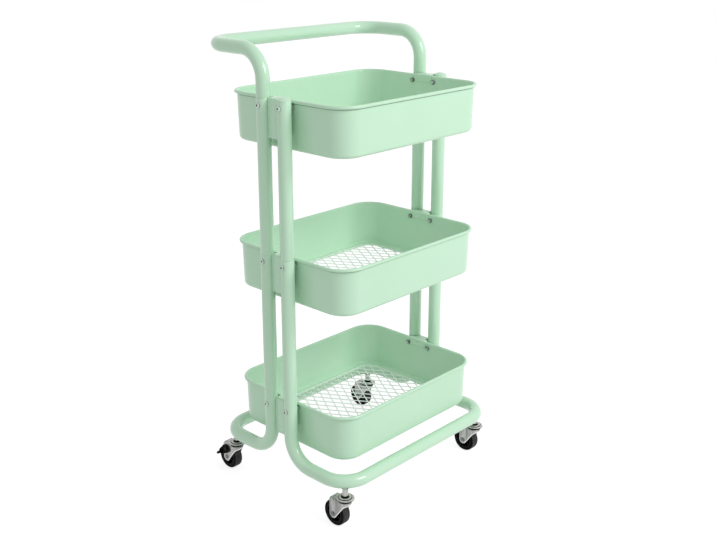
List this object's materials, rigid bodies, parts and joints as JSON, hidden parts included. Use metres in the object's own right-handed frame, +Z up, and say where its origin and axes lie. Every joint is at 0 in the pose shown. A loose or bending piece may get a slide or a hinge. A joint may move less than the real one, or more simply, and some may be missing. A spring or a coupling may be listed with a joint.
{
  "type": "rolling kitchen cart",
  "caption": "Tiered rolling kitchen cart with deep rounded metal baskets on mesh floors, a bent-tube frame, an overhanging push handle, swivel casters and rear foot brakes.",
  "frame": {"origin": "on the floor under the middle of the baskets", "axes": "+X along the long side of the baskets, +Y to the rear where the push handle overhangs, +Z up"},
  "size_m": [0.4422, 0.3729, 0.86],
  "materials": {
    "frame_coat": "glossy pale green powder coat on bent steel tube",
    "basket_coat": "glossy pale green powder coat on pressed sheet steel",
    "mesh_coat": "pale green powder coat on steel strands",
    "bracket_coat": "pale green powder coat on bent sheet steel",
    "cap_plastic": "pale green moulded plastic",
    "bolt_steel": "bright zinc plated",
    "spacer_plastic": "moulded nylon",
    "insert_steel": "zinc plated",
    "caster_chrome": "bright plated pressed steel",
    "axle_steel": "plated, riveted over",
    "ball_steel": "polished bearing balls with grease",
    "hub_plastic": "black moulded nylon",
    "tyre_rubber": "smooth black tread with rounded shoulders",
    "pedal_plastic": "black moulded plastic"
  },
  "bodies": {
    "cart": {"front_base_tube": "frame_coat", "rear_base_tube": "frame_coat", "handle": "frame_coat", "front_upright_left": "frame_coat", "front_upright_right": "frame_coat", "rear_upright_left": "frame_coat", "rear_upright_right": "frame_coat", "upright_cap_left": "cap_plastic", "upright_cap_right": "cap_plastic", "bottom_basket": "basket_coat", "bottom_mesh": "mesh_coat", "bottom_bracket_left": "bracket_coat", "bottom_bracket_right": "bracket_coat", "middle_basket": "basket_coat", "middle_mesh": "mesh_coat", "middle_bracket_left": "bracket_coat", "middle_bracket_right": "bracket_coat", "top_basket": "basket_coat", "top_mesh": "mesh_coat", "top_bracket_left": "bracket_coat", "top_bracket_right": "bracket_coat", "basket_bolts": "bolt_steel", "basket_nuts": "bolt_steel", "basket_spacers": "spacer_plastic", "rail_inserts": "insert_steel", "front_left_stem": "caster_chrome", "front_right_stem": "caster_chrome", "rear_left_stem": "caster_chrome", "rear_right_stem": "caster_chrome"},
    "front_left_swivel": {"front_left_fork": "caster_chrome", "front_left_axle": "axle_steel", "front_left_balls": "ball_steel"},
    "front_left_wheel": {"front_left_hub": "hub_plastic", "front_left_tyre": "tyre_rubber"},
    "front_right_swivel": {"front_right_fork": "caster_chrome", "front_right_axle": "axle_steel", "front_right_balls": "ball_steel"},
    "front_right_wheel": {"front_right_hub": "hub_plastic", "front_right_tyre": "tyre_rubber"},
    "rear_left_swivel": {"rear_left_fork": "caster_chrome", "rear_left_axle": "axle_steel", "rear_left_balls": "ball_steel", "rear_left_brake_pin": "axle_steel"},
    "rear_left_wheel": {"rear_left_hub": "hub_plastic", "rear_left_tyre": "tyre_rubber"},
    "rear_left_brake": {"rear_left_pedal": "pedal_plastic"},
    "rear_right_swivel": {"rear_right_fork": "caster_chrome", "rear_right_axle": "axle_steel", "rear_right_balls": "ball_steel", "rear_right_brake_pin": "axle_steel"},
    "rear_right_wheel": {"rear_right_hub": "hub_plastic", "rear_right_tyre": "tyre_rubber"},
    "rear_right_brake": {"rear_right_pedal": "pedal_plastic"}
  },
  "joints": [
    {"name": "front_left_swivel_turn", "type": "hinge", "parent": "cart", "child": "front_left_swivel", "pos_m": [-0.19136, -0.15036, 0.056], "axis": [0, 0, 1], "continuous": true},
    {"name": "front_left_wheel_roll", "type": "hinge", "parent": "front_left_swivel", "child": "front_left_wheel", "pos_m": [-0.19136, -0.13036, 0.025], "axis": [1, 0, 0], "continuous": true},
    {"name": "front_right_swivel_turn", "type": "hinge", "parent": "cart", "child": "front_right_swivel", "pos_m": [0.19136, -0.15036, 0.056], "axis": [0, 0, 1], "continuous": true},
    {"name": "front_right_wheel_roll", "type": "hinge", "parent": "front_right_swivel", "child": "front_right_wheel", "pos_m": [0.19136, -0.13036, 0.025], "axis": [1, 0, 0], "continuous": true},
    {"name": "rear_left_swivel_turn", "type": "hinge", "parent": "cart", "child": "rear_left_swivel", "pos_m": [-0.19136, 0.15036, 0.056], "axis": [0, 0, 1], "continuous": true},
    {"name": "rear_left_wheel_roll", "type": "hinge", "parent": "rear_left_swivel", "child": "rear_left_wheel", "pos_m": [-0.19136, 0.17036, 0.025], "axis": [1, 0, 0], "continuous": true},
    {"name": "rear_left_brake_press", "type": "hinge", "parent": "rear_left_swivel", "child": "rear_left_brake", "pos_m": [-0.19136, 0.16836, 0.045], "axis": [-1, 0, 0], "range_deg": [0, 12]},
    {"name": "rear_right_swivel_turn", "type": "hinge", "parent": "cart", "child": "rear_right_swivel", "pos_m": [0.19136, 0.15036, 0.056], "axis": [0, 0, 1], "continuous": true},
    {"name": "rear_right_wheel_roll", "type": "hinge", "parent": "rear_right_swivel", "child": "rear_right_wheel", "pos_m": [0.19136, 0.17036, 0.025], "axis": [1, 0, 0], "continuous": true},
    {"name": "rear_right_brake_press", "type": "hinge", "parent": "rear_right_swivel", "child": "rear_right_brake", "pos_m": [0.19136, 0.16836, 0.045], "axis": [-1, 0, 0], "range_deg": [0, 12]}
  ]
}
